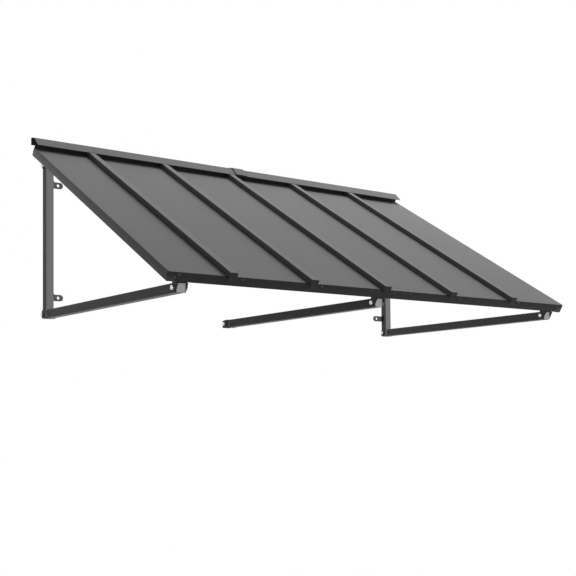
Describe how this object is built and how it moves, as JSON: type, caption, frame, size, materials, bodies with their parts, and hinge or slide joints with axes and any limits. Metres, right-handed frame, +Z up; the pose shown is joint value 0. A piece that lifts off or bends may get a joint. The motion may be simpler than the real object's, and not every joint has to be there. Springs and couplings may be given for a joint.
{
  "type": "metal awning",
  "caption": "Metal awning with a sloping standing seam roof on a frame of square tubes, with posts and arms bolted to it that fix to a wall over a door or window.",
  "frame": {"origin": "centre of the bounding box, at its bottom", "axes": "+X along the wall to the right as seen from outside, +Y into the wall, +Z up; the wall's plane is the box's +Y side"},
  "size_m": [1.727, 0.9684, 0.648],
  "materials": {
    "coat": "satin grey powder coat",
    "plug": "matt moulded",
    "zinc": "bright zinc plate"
  },
  "bodies": {
    "frame": {"roof_pan_1": "coat", "roof_pan_2": "coat", "roof_pan_3": "coat", "roof_pan_4": "coat", "roof_pan_5": "coat", "roof_pan_6": "coat", "seam_batten_1": "coat", "seam_batten_2": "coat", "seam_batten_3": "coat", "seam_batten_4": "coat", "seam_batten_5": "coat", "batten_cap_1": "coat", "batten_cap_2": "coat", "batten_cap_3": "coat", "batten_cap_4": "coat", "batten_cap_5": "coat", "flashing_left": "coat", "flashing_right": "coat", "flashing_strap": "coat", "rafter_left": "coat", "rafter_centre": "coat", "rafter_right": "coat", "front_rail_left": "coat", "front_rail_right": "coat", "front_rail_sleeve": "coat", "header_left": "coat", "header_right": "coat", "header_sleeve": "coat", "header_bracket_left": "coat", "header_bracket_right": "coat", "rail_bracket_left": "coat", "rail_bracket_centre": "coat", "rail_bracket_right": "coat", "post_left": "coat", "post_right": "coat", "wall_clip_left_lower": "coat", "wall_clip_left_upper": "coat", "wall_clip_right_lower": "coat", "wall_clip_right_upper": "coat", "arm_left": "coat", "arm_right": "coat", "rafter_plug_left_front": "plug", "rafter_plug_left_top": "plug", "rafter_plug_right_front": "plug", "rafter_plug_right_top": "plug", "post_plug_left": "plug", "post_plug_right": "plug", "arm_plug_left": "plug", "arm_plug_right": "plug", "pivot_bolt_left_front": "zinc", "pivot_bolt_centre_front": "zinc", "pivot_bolt_right_front": "zinc", "pivot_bolt_left_head": "zinc", "pivot_bolt_right_head": "zinc", "pivot_bolt_left_foot": "zinc", "pivot_bolt_right_foot": "zinc"},
    "centre_arm": {"arm_centre": "coat", "arm_plug_centre": "plug", "pivot_bolt_centre_wall": "zinc"},
    "wall_bracket": {"centre_wall_bracket": "coat"}
  },
  "joints": [
    {"name": "centre_arm_pivot", "type": "hinge", "parent": "frame", "child": "centre_arm", "pos_m": [-0.0405, -0.42016, 0.015], "axis": [1, 0, 0], "range_deg": [-160, 30]},
    {"name": "wall_bracket_pivot", "type": "hinge", "parent": "centre_arm", "child": "wall_bracket", "pos_m": [-0.0405, 0.45663, 0.015], "axis": [1, 0, 0], "range_deg": [-96, 96]}
  ]
}
